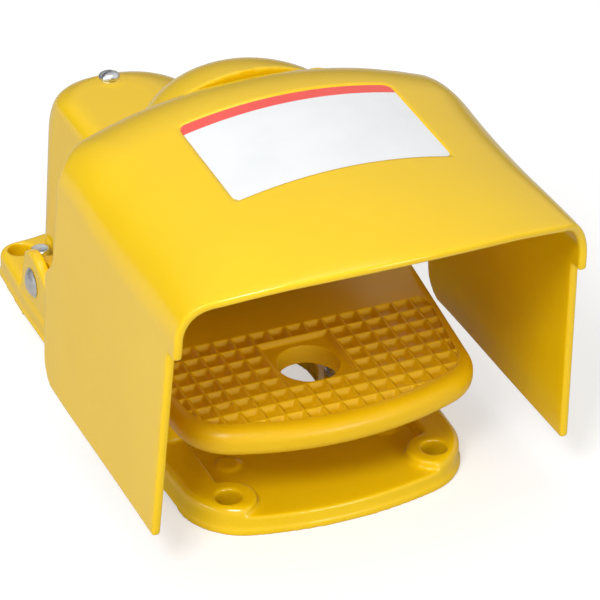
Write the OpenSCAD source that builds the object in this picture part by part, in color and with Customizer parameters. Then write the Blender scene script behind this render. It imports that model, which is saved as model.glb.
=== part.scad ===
// Industrial foot switch with a full foot shield.
// The origin is on the underside, in the middle of the front pair of mounting holes.
// X runs across the switch, +Y runs from the toe opening back to the housing, +Z is up.

/* [Base plate] */
// Distance between the front and the rear pair of mounting holes
bolt_len = 200; // [195:1:210]
// Spacing of the front mounting holes
bolt_front = 83; // [70:1:88]
// Spacing of the rear mounting holes
bolt_rear = 104; // [102:1:110]
// Diameter of the mounting holes
bolt_d = 9.8; // [6:0.1:12]
// Half width of the base beside the pivot lugs
base_half = 62; // [61:0.5:66]
// Distance from the front holes to the front edge
base_nose = 16.5; // [12:0.5:24]
// Height of the rim, the pads and the housing seat
base_h = 11.5; // [10:0.5:14]
// Thickness of the sunken floor under the pedal
floor_t = 8; // [6:0.5:9]
// Diameter of the dirt opening in the floor
drain_d = 52; // [30:1:54]

/* [Shield] */
// Half width of the shield at shoulder height
hood_half = 78.3; // [76:0.5:90]
// Greatest height of the shield above the floor
hood_h = 147.3; // [140:0.5:170]
// Height of the lower edge of the side panels
hood_low = 23; // [16:0.5:30]
// Wall thickness of the shield
hood_t = 3.3; // [2.5:0.1:4.5]
// Outward draft of the side panels, per millimetre of height
hood_draft = 0.048; // [0:0.002:0.08]
// Radius of the roof across the shield
crown_r = 180; // [140:5:300]
// Radius of the shoulders half way along
shoulder_mid = 32; // [24:1:40]
// Radius of the shoulders at both ends
shoulder_end = 20; // [16:1:24]
// Slope of the roof towards the front, per millimetre
roof_slope = 0.0424; // [0.02:0.002:0.06]
// Reach of the visor in front of the front holes
visor_reach = 67; // [50:1:80]
// Radius of the visor's front edge, seen from above
visor_r = 140; // [120:5:200]
// Width of the label field
label_w = 82.6; // [60:0.2:84]
// Length of the label field
label_l = 54.3; // [40:0.1:60]
// Distance from the front holes to the front of the label field
label_y = -9.8; // [-14:0.2:-6]
// Depth of the label recess
label_recess = 0.7; // [0.4:0.1:1]
// Thickness of the label
label_t = 0.5; // [0.2:0.1:0.6]

/* [Pedal] */
// Distance from the front holes back to the pivot axis
pivot_y = 158; // [154:1:162]
// Height of the pivot axis
pivot_z = 20.5; // [20:0.5:23]
// Downward travel of the pedal in degrees
pedal_travel = 3.5; // [2:0.1:3.6]
// Reach of the pedal in front of the front holes
pedal_reach = 20; // [16:1:26]
// Half width of the pedal at its front corners
pedal_half = 58.8; // [54:0.2:60]
// Height of the rolled edge of the pedal
rim_h = 11.5; // [11:0.5:14]
// Radius that rounds the rolled edge
rim_r = 5; // [3:0.5:5.4]
// Thickness of the pedal plate
plate_t = 10; // [9:0.1:11]
// Forward tilt of the pedal in degrees
pedal_tilt = 2.2; // [1:0.1:3]
// Height of the tread at the middle of the pedal hole
tread_z = 47.6; // [46.5:0.1:50]
// Distance from the front holes to the middle of the pedal hole
hole_y = 22.4; // [18:0.2:26]
// Diameter of the hole through the pedal
hole_d = 23.4; // [16:0.2:25]
// Side of the square field round the pedal hole
hole_field = 26; // [24:0.2:32]
// Spacing of the tread ridges across the pedal
tread_px = 7.35; // [6:0.05:10]
// Spacing of the tread ridges along the pedal
tread_py = 7.6; // [6:0.05:10]
// Depth of the tread pockets
tread_d = 2; // [1.5:0.1:3.5]
// Thickness of each pedal arm
arm_t = 5.5; // [5:0.5:6]
// Diameter of the pivot pins
pin_d = 8; // [6:0.5:8]

/* [Housing] */
// Width of the switch housing's rear body
house_w = 73; // [66:0.5:74]
// Sideways offset of the rear body's middle
house_x = -9.5; // [-10:0.5:-4]
// Distance from the front holes to the housing's lower front wall
house_front = 114; // [113:0.5:116]
// Length of the housing's lower body
house_len = 90; // [86:1:92]
// Height of the housing's rear body above the floor
house_h = 92.5; // [86:0.5:98]
// Wall thickness of the housing
house_t = 4; // [3:0.25:5]
// Half width of the turret that carries the shield
turret_half = 46; // [40:0.5:48]
// Height of the turret above the floor
turret_h = 140.7; // [134:0.5:150]
// Radius of the threaded conduit entry
conduit_r = 10.4; // [8:0.1:13]
// Height of the conduit entry
conduit_z = 42; // [38:1:50]

/* [Switch] */
// Distance from the front holes to the plunger
plunger_y = 127; // [126:0.5:130]
// Diameter of the plunger stem
stem_d = 5; // [4:0.5:6]
// Radial clearance of everything that slides or turns
fit = 0.05; // [0.02:0.01:0.08]
// Gap between parts that touch but belong to different bodies
gap = 0.3; // [0.2:0.05:0.4]

/* [Hidden] */
$fn = 48;
yellow = [0.95, 0.76, 0.13];
zinc = [0.75, 0.76, 0.78];
black = [0.1, 0.1, 0.1];

// base
base_nose_r = 137;      // front edge, seen from above
base_corner_r = 26;
base_corner_x = 29.6;
base_draft_y = 60;      // where the sides reach their full width
ear_r = 8.2;
tail_bulge = 14;        // rear edge behind the rear holes, at the middle
skirt = 0.7;            // lower tier of the side wall
skirt_h = 2.4;
pad_r = 10.5;
recess_half = 42;
drain_y = 80;
seat_y = 100;           // front of the housing seat
relief_h = 1.2;
relief_rear = 167.5;
relief_front = 15;
// pivot
lug_t = 4.6;
lug_x = 56.6;
lug_r = 13;
pin_head_d = 12.4;
pin_head_h = 2.6;
arm_gap = 0.5;
arm_x = lug_x - arm_gap - arm_t;
eye_r = 9;
bush_r = pin_d / 2 + 1.5;
clip_t = 0.8;
// pedal
pedal_nose_r = 125;
pedal_corner_r = 22;
pedal_rear = 82;
pedal_flare = 5.2;      // outward angle of the pedal's sides
web_inset = 9;
ridge_floor = 3.9;      // flat left at the bottom of a tread pocket
ridge_crest = 0.6;      // flat on top of a ridge
tongue_half = 9;
tongue_top = 47;
tongue_t = 7;
spring_x = 32;
spring_y = 65;
spring_r = 5.6;
wire_r = 0.9;
spring_turns = 7;
stop_x = 46;
stop_y = 48;
stop_post_z = 24;
mark_y = 24;            // small round bosses on the floor
// housing
flange_t = 4.5;
gasket_t = 0.8;
flange_z = base_h + gasket_t;
screw_ear_r = 6;
screw_head_r = 4.5;
house_rear = house_front + house_len;
front_screw = [house_w / 2 - 6, house_front - 5.8];
rear_screw = [house_w / 2 + 3.2, house_rear - 22.5];
turret_y = 70;
turret_len = 54;
turret_z = 106;
turret_low = 66;
turret_front = 44;
rim_y = 79.5;           // rear edge of the shield's roof
seat_z = 126;           // where the shield's bosses stand on the turret
boss_r = 6;
boss_xy = [[-24, 54], [24, 54], [-24, 69], [24, 69]];
hub_r = 15.5;
hub_out = 8;
earth_pos = [house_x - 8, house_rear - 24, house_h - 0.2];
earth_tilt = [-6, 0, 0];
// switch, from the shelf down
shelf_z = 33;
shelf_t = 4;
pocket_half = 14;
pocket_top = 54;
pocket_rear = plunger_y + 12;
up_stop_y = house_front + 3.6;
well_floor = 5;
well_half = 18;
flange_top = shelf_z + 0.9;
plunger_travel = (pivot_y - plunger_y) * pedal_travel * PI / 180;
head_low = flange_top + plunger_travel + 0.6;
head_t = 1.8;
stem_low = 27;
button_top = stem_low - gap;
button_r = 1.7;
switch_top = button_top - plunger_travel - 0.4;
switch_h = 15.9;
switch_l = 27.8;
switch_w = 10.3;
switch_front = plunger_y - 7.6;
bracket_t = 1.5;

// ---- helpers -------------------------------------------------------------

// points of an arc about c
function arc(c, r, a0, a1, n) =
    [for (i = [0:n]) let (a = a0 + (a1 - a0) * i / n) [c[0] + r * cos(a), c[1] + r * sin(a)]];

// closes a half outline, listed from front to rear on +X, with its mirror image
function both_sides(p) =
    concat(p, [for (i = [len(p) - 1:-1:0]) if (p[i][0] > 0.001) [-p[i][0], p[i][1]]]);

function at_z(p, z) = [for (q = p) [q[0], q[1], z]];

function smooth(t) = let (u = min(1, max(0, t))) u * u * (3 - 2 * u);

// solid through a stack of closed outlines, lowest first, with the same number of points
module loft(rings) {
    n = len(rings[0]);
    m = len(rings);
    polyhedron(
        points = [for (r = rings) for (p = r) p],
        faces = concat(
            [[for (i = [0:n - 1]) i]],
            [[for (i = [n - 1:-1:0]) (m - 1) * n + i]],
            [for (k = [0:m - 2]) for (i = [0:n - 1])
                let (j = (i + 1) % n) [k * n + i, (k + 1) * n + i, (k + 1) * n + j]],
            [for (k = [0:m - 2]) for (i = [0:n - 1])
                let (j = (i + 1) % n) [k * n + i, (k + 1) * n + j, k * n + j]]));
}

// closed plate between two equal grids of points
module plate(top, bottom) {
    n = len(top);
    m = len(top[0]);
    k = n * m;
    edge_i = [for (i = [0:n - 2]) i * m];
    polyhedron(
        points = concat([for (r = top) for (p = r) p], [for (r = bottom) for (p = r) p]),
        faces = concat(
            [for (i = edge_i) for (j = [0:m - 2]) for (f = [0, 1]) let (a = i + j)
                f == 0 ? [a, a + m, a + m + 1] : [a, a + m + 1, a + 1]],
            [for (i = edge_i) for (j = [0:m - 2]) for (f = [0, 1]) let (a = k + i + j)
                f == 0 ? [a, a + m + 1, a + m] : [a, a + 1, a + m + 1]],
            [for (j = [0:m - 2]) for (f = [0, 1])
                f == 0 ? [j, j + 1, k + j + 1] : [j, k + j + 1, k + j]],
            [for (j = [0:m - 2]) for (f = [0, 1]) let (a = (n - 1) * m + j)
                f == 0 ? [a + 1, a, k + a] : [a + 1, k + a, k + a + 1]],
            [for (a = edge_i) for (f = [0, 1])
                f == 0 ? [a + m, a, k + a] : [a + m, k + a, k + a + m]],
            [for (i = edge_i) for (f = [0, 1]) let (a = i + m - 1)
                f == 0 ? [a, a + m, k + a + m] : [a, k + a + m, k + a]]));
}

module both() {
    children();
    mirror([1, 0, 0]) children();
}

// extrudes an outline drawn as [y, z] along X, from x0 over a width w
module side_profile(x0, w) {
    translate([x0, 0, 0]) rotate([90, 0, 90]) linear_extrude(w) children();
}

module hex(af, h) {
    cylinder(d = af / cos(30), h = h, $fn = 6);
}

// ---- base ----------------------------------------------------------------

// right half of the base outline, grown by o
function base_half_outline(o) = let (
    nose_c = [0, base_nose_r - base_nose],
    reach = base_nose_r - base_corner_r,
    cy = nose_c[1] - sqrt(reach * reach - base_corner_x * base_corner_x),
    a1 = atan2(cy - nose_c[1], base_corner_x),
    ear = [bolt_rear / 2, bolt_len])
    concat(
        arc(nose_c, base_nose_r + o, -90, a1, 3),
        arc([base_corner_x, cy], base_corner_r + o, a1 + 8, -2, 6),
        [[base_half + o, base_draft_y + 80], [base_half + o, relief_rear]],
        arc(ear, ear_r + o, 4, 84, 6),
        [for (i = [1:6]) let (x = (bolt_rear / 2 - 3) * (1 - i / 6), u = x / (bolt_rear / 2))
            [x, bolt_len + o + tail_bulge - (tail_bulge - ear_r + 1) * u * u]]);

module base_body() {
    steps = [[0, skirt], [skirt_h, skirt], [skirt_h + 0.5, 0], [base_h - 3, 0],
        [base_h - 1.3, -0.7], [base_h - 0.4, -1.8], [base_h, -3.2]];
    loft([for (s = steps) at_z(both_sides(base_half_outline(s[1])), s[0])]);
}

module floor_recess() {
    difference() {
        translate([-recess_half, -60, floor_t])
            cube([2 * recess_half, seat_y + 62, base_h]);
        both() translate([bolt_front / 2, 0, 0]) cylinder(r = pad_r, h = 3 * base_h);
        both() translate([bolt_front / 2, -60, 0]) cube([60, 60, 3 * base_h]);
    }
}

module lug_shape() {
    translate([pivot_y, pivot_z]) circle(r = lug_r);
    polygon([[pivot_y - 34, base_h - 2], [pivot_y - 13, pivot_z + 8.6], [pivot_y - 9, pivot_z + 9.3],
        [pivot_y + 9, pivot_z + 9.3], [pivot_y + 16, base_h - 2]]);
}

module base_plate() color(yellow) {
    difference() {
        union() {
            difference() {
                base_body();
                floor_recess();
            }
            both() side_profile(lug_x, lug_t) intersection() {
                lug_shape();
                translate([0, 1]) square([2 * pivot_y, 100]);
            }
            both() translate([stop_x, stop_y, 1]) cylinder(r = 7, h = stop_post_z - 1);
            both() translate([spring_x, spring_y, 1])
                cylinder(r = spring_r - wire_r - 0.4, h = floor_t + 1);
            both() translate([spring_x, mark_y, 1]) cylinder(d = 9, h = floor_t - 0.2);
        }
        // mounting holes
        both() translate([bolt_front / 2, 0, -1]) cylinder(d = bolt_d, h = 3 * base_h);
        both() translate([bolt_rear / 2, bolt_len, -1]) cylinder(d = bolt_d, h = 3 * base_h);
        // dirt opening, and wells for the pedal arms and the micro switch
        translate([0, drain_y, -1]) cylinder(d = drain_d, h = 3 * base_h, $fn = 96);
        both() translate([arm_x - 1, pivot_y - eye_r - 5, floor_t])
            cube([arm_t + arm_gap + 1, 2 * eye_r + 10, base_h]);
        translate([-well_half, house_front + house_t, well_floor])
            cube([2 * well_half, 32, base_h]);
        // the side edges stand clear of the floor between the feet
        both() translate([base_half - 14, relief_front, -1])
            cube([30, relief_rear - relief_front, 1 + relief_h]);
        // pivot pins, stop buttons and tapped holes
        both() translate([lug_x - 1, pivot_y, pivot_z]) rotate([0, 90, 0])
            cylinder(r = pin_d / 2 + fit, h = lug_t + 2);
        both() translate([stop_x, stop_y, stop_post_z - 6]) cylinder(r = 2.5 + fit, h = 10);
        at_housing_screws() translate([0, 0, 2.5]) cylinder(r = 2.5 + fit, h = 2 * base_h);
        for (y = [6, 22])
            translate([12, switch_front + y, 1]) cylinder(r = 2 + fit, h = base_h);
    }
}

// ---- shield --------------------------------------------------------------

function rear_drop(y) = pow(max(0, y - 42), 2) / 122;
function front_drop(y) = pow(max(0, -20 - y), 2) / 540;
function roof_mid(y) = hood_h + roof_slope * (y - 45) - rear_drop(y) - front_drop(y);
function roof_z(x, y) = roof_mid(y) - crown_r + sqrt(crown_r * crown_r - x * x);
function shoulder_r(y) =
    shoulder_mid - (shoulder_mid - shoulder_end) * min(1, pow((y - 10) / 60, 2));

// rows of the section, from the lower edge of a side panel to the middle of the roof
wall_rows = [0, 0.3, 0.6, 0.85];
arc_rows = 7;
label_edge = 0.3;
roof_x = [50, label_w / 2 + label_edge, label_w / 2, 28, 14, 0];
half_rows = len(wall_rows) + arc_rows + 1 + len(roof_x);

// point [x, z] of row k of the section at y; t moves it to the inner face
function hood_point(k, y, t) = let (
    r = shoulder_r(y),
    xc = hood_half - r,
    zc = roof_mid(y) - crown_r + sqrt(pow(crown_r - r, 2) - xc * xc),
    nw = len(wall_rows),
    a_end = atan2(zc - roof_mid(y) + crown_r, xc))
    k < nw ? let (z = hood_low + wall_rows[k] * (zc - hood_low))
        [hood_half + (zc - z) * hood_draft - t, z]
    : k <= nw + arc_rows ? let (a = a_end * (k - nw) / arc_rows)
        [xc + (r - t) * cos(a), zc + (r - t) * sin(a)]
    : let (x = roof_x[k - nw - arc_rows - 1]) [x, roof_z(x, y) - t];

visor_front = function (x) -visor_reach + x * x / (2 * visor_r);
hood_cols = [-40, -30, -20, label_y - label_edge, label_y, 8, 26, label_y + label_l,
    label_y + label_l + label_edge, 52, 60, 68, 74];
col_n = len(hood_cols) + 3;

// y of column i in row k: the visor's edge, fixed stations, the rear edge
function hood_y(i, k) = let (
    x = min(hood_half, hood_point(k, -50, 0)[0]),
    front = visor_front(x),
    rear = k > len(wall_rows) + 3 ? rim_y : rim_y + 9)
    i == 0 ? front : i == 1 ? (front + hood_cols[0]) / 2
    : i == col_n - 1 ? rear : hood_cols[i - 2];

function in_label(i, k) = k >= half_rows - 4 && i >= 6 && i <= 9;

// full row index runs from the left panel over the roof to the right panel
function hood_vertex(i, j, t) = let (
    k = j < half_rows ? j : 2 * half_rows - 2 - j,
    side = j < half_rows ? -1 : 1,
    y = hood_y(i, k),
    p = hood_point(k, y, t),
    cut = t == 0 && in_label(i, k) ? label_recess : 0)
    [side * p[0], y, p[1] - cut];

hood_rows = 2 * half_rows - 1;
module hood_shell() {
    plate(
        [for (i = [0:col_n - 1]) [for (j = [0:hood_rows - 1]) hood_vertex(i, j, 0)]],
        [for (i = [0:col_n - 1]) [for (j = [0:hood_rows - 1]) hood_vertex(i, j, hood_t)]]);
}

// side panels seen from the side: what is cut away in front of and behind them
panel_top = 103.5;
panel_front = -visor_reach + 29;
module front_cut() {
    polygon(concat(
        [[-120, 0], [panel_front + 8.8, 0], [panel_front + 8.8, hood_low + 1],
            [panel_front, panel_top - 3], [panel_front - 0.6, panel_top]],
        arc([panel_front - 6.2, panel_top + 4], 4, -90, -180, 5),
        [[-120, panel_top + 4]]));
}

module rear_cut() {
    low_y = 86.2;
    polygon(concat(
        [[160, 0], [68, 0], [68, hood_low]],
        arc([low_y - 11, hood_low + 11], 11, -78, -8, 6),
        [for (i = [0:6]) [low_y - 9 * smooth(i / 6), 67 + 2 * i]],
        [[75.6, 88], [73.4, 106], [72.3, 118], [74.6, 122], [rim_y, 127], [160, 127]]));
}

module shield() color(yellow) {
    difference() {
        union() {
            hood_shell();
            for (p = boss_xy) translate([p[0], p[1], seat_z])
                cylinder(r = boss_r, h = roof_z(p[0], p[1]) - 2 - seat_z);
        }
        side_profile(-120, 240) front_cut();
        side_profile(-120, 240) rear_cut();
        for (p = boss_xy) translate([p[0], p[1], seat_z - 1])
            cylinder(r = 2.5 + fit, h = 10);
    }
}

// thin plate on the floor of the recess, following the roof
module label_blank() color("white")
    plate(
        [for (i = [6:9]) [for (j = [0:6])
            hood_vertex(i, half_rows - 4 + j, 0) + [0, 0, label_t]]],
        [for (i = [6:9]) [for (j = [0:6]) hood_vertex(i, half_rows - 4 + j, 0)]]);

// ---- housing -------------------------------------------------------------

// rear body: drafted walls, then a different edge radius on the left, right and rear
lobe_draft = 0.05;
lobe_left_r = 7;
lobe_right_r = 30;
lobe_rear_r = 21.5;
lobe_corner_r = 21;
function edge_inset(z, r) = let (d = z - (house_h - r)) d <= 0 ? 0 : r - sqrt(max(0, r * r - d * d));
function lobe_front(z) = house_front - 18 * smooth((z - 58) / 8);

// outline at height z, inset by o
function lobe_ring(z, o) = let (
    d = lobe_draft * (z - flange_z) + o,
    x0 = house_x - house_w / 2 + d + edge_inset(z, lobe_left_r),
    x1 = house_x + house_w / 2 - d - edge_inset(z, lobe_right_r),
    y0 = lobe_front(z) + o,
    y1 = house_rear - d - edge_inset(z, lobe_rear_r),
    r = min(lobe_corner_r - o, (x1 - x0) / 2.1),
    f = min(6, r / 2))
    at_z(concat(
        arc([x1 - f, y0 + f], f, -90, 0, 3), arc([x1 - r, y1 - r], r, 0, 90, 7),
        arc([x0 + r, y1 - r], r, 90, 180, 7), arc([x0 + f, y0 + f], f, 180, 270, 3)), z);

lobe_levels = concat([flange_z, 30, 52, 58, 62, 66, 71],
    [for (a = [12:13:90]) house_h - lobe_rear_r + lobe_rear_r * sin(a)]);

module lobe() loft([for (z = lobe_levels) lobe_ring(z, 0)]);

function turret_ring(z, k, o) = at_z([for (i = [0:35])
    [(turret_half * k - o) * sin(i * 10), turret_y - (turret_len * k - o) * cos(i * 10)]], z);

turret_rise = turret_h - turret_z;
module turret()
    loft(concat([turret_ring(turret_low, 1, 0)],
        [for (a = [0, 18, 34, 48, 61, 73, 82])
            turret_ring(turret_z + turret_rise * sin(a), cos(a), 0)]));

// cored hollow of the rear body, stepped like its foundry core
module lobe_core() {
    steps = [flange_z - 1, 56, house_h - 14, house_h - house_t - 2];
    for (i = [0:2]) translate([0, 0, steps[i]])
        linear_extrude(steps[i + 1] - steps[i] + (i < 2 ? 0.01 : 0)) polygon(
            [for (p = lobe_ring(i == 0 ? steps[1] : steps[i + 1], house_t)) [p[0], p[1]]]);
}

// cored hollow of the turret below the shield's seat
module turret_core() {
    top = seat_z - house_t;
    k = sqrt(1 - pow((top - turret_z) / turret_rise, 2));
    translate([0, 0, turret_low + house_t]) linear_extrude(top - turret_low - house_t)
        intersection() {
            polygon([for (p = turret_ring(0, k, house_t)) [p[0], p[1]]]);
            translate([-turret_half, turret_front + house_t])
                square([2 * turret_half, 2 * turret_len]);
        }
}

module flange_outline(o) {
    polygon([for (p = lobe_ring(flange_z, o)) [p[0], p[1]]]);
}

module at_housing_screws() {
    for (p = [front_screw, rear_screw], s = [-1, 1])
        translate([house_x + s * p[0], p[1], 0]) children();
}

module flange_2d() {
    flange_outline(0);
    at_housing_screws() circle(r = screw_ear_r);
    for (s = [-1, 1])
        translate([house_x + s * front_screw[0] - screw_ear_r, front_screw[1]])
            square([2 * screw_ear_r, 12]);
}

// room for the shield: the turret is level under its roof and flat in front
module shield_seat() {
    translate([-60, 0, seat_z]) cube([120, rim_y + gap, 60]);
    translate([-60, -60, 0]) cube([120, turret_front + 60, 200]);
}

module switch_housing() color(yellow) {
    difference() {
        union() {
            difference() {
                union() {
                    lobe();
                    turret();
                }
                shield_seat();
                lobe_core();
                turret_core();
            }
            translate([0, 0, flange_z]) linear_extrude(flange_t) difference() {
                flange_2d();
                flange_outline(house_t);
            }
            // block round the plunger pocket
            translate([-pocket_half - house_t, house_front + 1, shelf_z - shelf_t])
                cube([2 * (pocket_half + house_t), pocket_rear + house_t - house_front - 1,
                    pocket_top + house_t - shelf_z + shelf_t]);
            // conduit hub
            translate([house_x, house_rear + hub_out, conduit_z]) rotate([90, 0, 0])
                cylinder(r = hub_r, h = hub_out + house_t + 3);
            translate(earth_pos) rotate(earth_tilt) translate([0, 0, -7])
                cylinder(r = 6.5, h = 7);
        }
        // plunger pocket, open to the front
        translate([-pocket_half, house_front - 20, shelf_z])
            cube([2 * pocket_half, pocket_rear - house_front + 20, pocket_top - shelf_z]);
        translate([0, plunger_y, shelf_z - shelf_t - 2]) cylinder(r = 4, h = shelf_t + 4);
        translate([0, up_stop_y, pocket_top - 1]) cylinder(r = 1.5 + fit, h = house_t + 2);
        // conduit entry
        translate([house_x, house_rear + hub_out + 1, conduit_z]) rotate([90, 0, 0])
            cylinder(r = conduit_r + 2, h = hub_out + house_t + 20, $fn = 96);
        // screws
        at_housing_screws() {
            cylinder(r = 2.6 + fit, h = 3 * flange_z);
            translate([0, 0, flange_z + flange_t]) cylinder(r = screw_head_r + 0.6, h = 8);
        }
        for (p = boss_xy) translate([p[0], p[1], seat_z - house_t - 2])
            cylinder(r = 2.6 + fit, h = house_t + 4);
        translate(earth_pos) rotate(earth_tilt) {
            translate([0, 0, -20]) cylinder(r = 2.5 + fit, h = 30);
            translate([0, 0, -40]) cylinder(r = 5.6, h = 33);
            cylinder(r = 5.5, h = 20);
        }
    }
}

module housing_gasket() color(black)
    translate([0, 0, base_h]) linear_extrude(gasket_t) difference() {
        flange_2d();
        flange_outline(house_t);
        at_housing_screws() circle(r = 2.6 + fit);
    }

module housing_screws() color(zinc)
    at_housing_screws()
        translate([0, 0, flange_z + flange_t]) {
            cylinder(r = screw_head_r, h = 1.2);
            translate([0, 0, 1.2]) intersection() {
                hex(7, 3.2);
                cylinder(r1 = 5.6, r2 = 3.4, h = 3.2);
            }
            translate([0, 0, 3.5 - flange_z - flange_t]) cylinder(r = 2.5, h = flange_z + 4);
        }

module shield_screws() color(zinc)
    for (p = boss_xy) translate([p[0], p[1], seat_z - house_t]) {
        translate([0, 0, -4]) difference() {
            cylinder(r = 4.4, h = 4);
            translate([0, 0, -1]) hex(4, 3);
        }
        cylinder(r = 2.5, h = house_t + 8);
    }

module earth_screw() color(zinc)
    translate(earth_pos) rotate(earth_tilt) {
        intersection() {
            cylinder(r = 4.2, h = 3.2);
            translate([0, 0, -3]) sphere(r = 6.8);
        }
        translate([0, 0, -16]) cylinder(r = 2.5, h = 17);
    }

module earth_nut() color(zinc)
    translate(earth_pos) rotate(earth_tilt) translate([0, 0, -12]) difference() {
        union() {
            hex(8, 4);
            translate([0, 0, 4]) cylinder(r = 5, h = 1);
        }
        translate([0, 0, -1]) cylinder(r = 2.5 + fit, h = 8);
    }

// threaded liner of the conduit entry
module conduit_bushing() color(zinc)
    translate([house_x, house_rear + hub_out, conduit_z]) rotate([90, 0, 0]) difference() {
        cylinder(r = conduit_r + 2, h = hub_out + house_t + 3, $fn = 96);
        translate([0, 0, -1]) cylinder(r = conduit_r, h = hub_out + house_t + 6, $fn = 96);
    }

// ---- pedal ---------------------------------------------------------------

function pedal_half_outline(o) = let (
    c = [0, pedal_nose_r - pedal_reach],
    reach = pedal_nose_r - pedal_corner_r,
    cx = pedal_half - pedal_corner_r,
    cy = c[1] - sqrt(reach * reach - cx * cx),
    a1 = atan2(cy - c[1], cx),
    rear_x = pedal_half + (pedal_rear - 12 - cy) * tan(pedal_flare) + 0.4 - 12)
    concat(
        arc(c, pedal_nose_r + o, -90, a1, 4),
        arc([cx, cy], pedal_corner_r + o, a1 + 8, -pedal_flare, 7),
        arc([rear_x, pedal_rear - 12], 12 + o, -pedal_flare, 90, 6),
        [[0, pedal_rear + o]]);

// frame of the tilted plate: z = 0 is the top of the tread
module on_plate() {
    translate([0, hole_y, tread_z]) rotate([pedal_tilt, 0, 0])
        translate([0, -hole_y, 0]) children();
}

function plate_top(y) = tread_z + (y - hole_y) * tan(pedal_tilt);

module pedal_body() {
    lower = [for (a = [90:-30:0]) [rim_r - rim_h - rim_r * sin(a), rim_r * cos(a) - rim_r]];
    upper = [for (a = [0:30:90]) [rim_r * sin(a) - rim_r, rim_r * cos(a) - rim_r]];
    loft([for (s = concat(lower, upper)) at_z(both_sides(pedal_half_outline(s[1])), s[0])]);
}

tread_rear = 46.4;
tread_front_r = 118;
tread_outline = let (
    c = [0, tread_front_r - 13.2], corner = 15, cx = 38.5,
    reach = tread_front_r - corner,
    cy = c[1] - sqrt(reach * reach - cx * cx),
    a1 = atan2(cy - c[1], cx))
    both_sides(concat(
        arc(c, tread_front_r, -90, a1, 5), arc([cx, cy], corner, a1 + 10, -7, 5),
        arc([52, tread_rear - 6], 6, -7, 90, 3), [[0, tread_rear]]));

module ridge(pitch, length) {
    half = (pitch - ridge_floor) / 2;
    rotate([90, 0, 0]) translate([0, -tread_d, -length / 2]) linear_extrude(length)
        polygon([[-half, -0.5], [-half, 0], [-ridge_crest / 2, tread_d],
            [ridge_crest / 2, tread_d], [half, 0], [half, -0.5]]);
}

module tread_ridges() {
    intersection() {
        translate([0, 0, -tread_d - 0.4]) linear_extrude(tread_d + 1) polygon(tread_outline);
        difference() {
            union() {
                for (i = [-8:8]) translate([i * tread_px, 0, 0]) ridge(tread_px, 160);
                for (i = [-4:3]) translate([0, hole_y + (i + 0.1) * tread_py, 0])
                    rotate([0, 0, 90]) ridge(tread_py, 160);
            }
            translate([-hole_field / 2, hole_y - hole_field / 2, -tread_d])
                cube([hole_field, hole_field, 2 * tread_d]);
        }
    }
}

arm_outline = [[pedal_rear - 30, plate_top(pedal_rear - 30) - rim_h + 1],
    [pivot_y - 6, pivot_z - 7], [pivot_y, pivot_z], [pivot_y + 2, pivot_z + 8.7],
    [pedal_rear + 6, plate_top(pedal_rear) - 2], [pedal_rear - 30, plate_top(pedal_rear - 30) - 3]];

module pedal() color(yellow) {
    difference() {
        union() {
            on_plate() difference() {
                pedal_body();
                translate([0, 0, -tread_d]) linear_extrude(10) polygon(tread_outline);
                // the plate is thinner than its rolled edge
                translate([0, 0, -rim_h - 1]) linear_extrude(rim_h + 1 - plate_t)
                    polygon(both_sides(pedal_half_outline(-web_inset)));
            }
            on_plate() tread_ridges();
            both() side_profile(arm_x, arm_t) {
                polygon(arm_outline);
                translate([pivot_y, pivot_z]) circle(r = eye_r);
            }
            // tongue over the plunger
            translate([-tongue_half, pedal_rear - 10, tongue_top - tongue_t])
                cube([2 * tongue_half, plunger_y + 6 - pedal_rear + 10, tongue_t]);
            // spring spigots
            both() translate([spring_x, spring_y, plate_top(spring_y) - plate_t - 2])
                cylinder(r = spring_r - wire_r - 0.4, h = 3);
        }
        on_plate() translate([0, hole_y, -20]) cylinder(d = hole_d, h = 40, $fn = 96);
        both() translate([arm_x - 1, pivot_y, pivot_z]) rotate([0, 90, 0])
            cylinder(r = bush_r, h = arm_t + 2);
        translate([0, plunger_y, tongue_top - tongue_t - 1])
            cylinder(r = 2.5 + fit, h = tongue_t + 2);
    }
}

module pivot_bushes() color([0.6, 0.45, 0.2])
    both() translate([arm_x, pivot_y, pivot_z]) rotate([0, 90, 0]) difference() {
        cylinder(r = bush_r, h = arm_t);
        translate([0, 0, -1]) cylinder(r = pin_d / 2 + fit, h = arm_t + 2);
    }

pin_in = arm_x - 2.2;    // inner end of a pivot pin
clip_x = arm_x - 0.3 - clip_t;

module pivot_pins() color(zinc)
    both() translate([0, pivot_y, pivot_z]) rotate([0, 90, 0]) {
        difference() {
            translate([0, 0, pin_in]) cylinder(d = pin_d, h = lug_x + lug_t - pin_in);
            translate([0, 0, clip_x - 0.05]) difference() {
                cylinder(d = pin_d + 2, h = clip_t + 0.1);
                translate([0, 0, -1]) cylinder(d = pin_d - 1.2, h = clip_t + 3);
            }
        }
        translate([0, 0, lug_x + lug_t]) intersection() {
            cylinder(d = pin_head_d, h = pin_head_h);
            translate([0, 0, pin_head_h - 9]) sphere(r = 9);
        }
    }

module pin_clips() color(zinc)
    both() translate([clip_x, pivot_y, pivot_z]) rotate([0, 90, 0]) difference() {
        cylinder(d = pin_d + 4, h = clip_t);
        translate([0, 0, -1]) cylinder(d = pin_d - 1.1, h = clip_t + 2);
        translate([0, -pin_d / 2 + 1, -1]) cube([pin_d, pin_d - 2, clip_t + 2]);
    }

// helical wire swept with six points round; the end turns lie close together
spring_low = floor_t + wire_r;
spring_rise = plate_top(spring_y) - plate_t - wire_r - gap - spring_low;
spring_steps = 12 * spring_turns;
spring_closed = 2 * wire_r + 0.15;
function spring_z(i) =
    i < 12 ? spring_closed * i / 12
    : i > spring_steps - 12 ? spring_rise - spring_closed * (spring_steps - i) / 12
    : spring_closed + (spring_rise - 2 * spring_closed) * (i - 12) / (spring_steps - 24);

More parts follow.
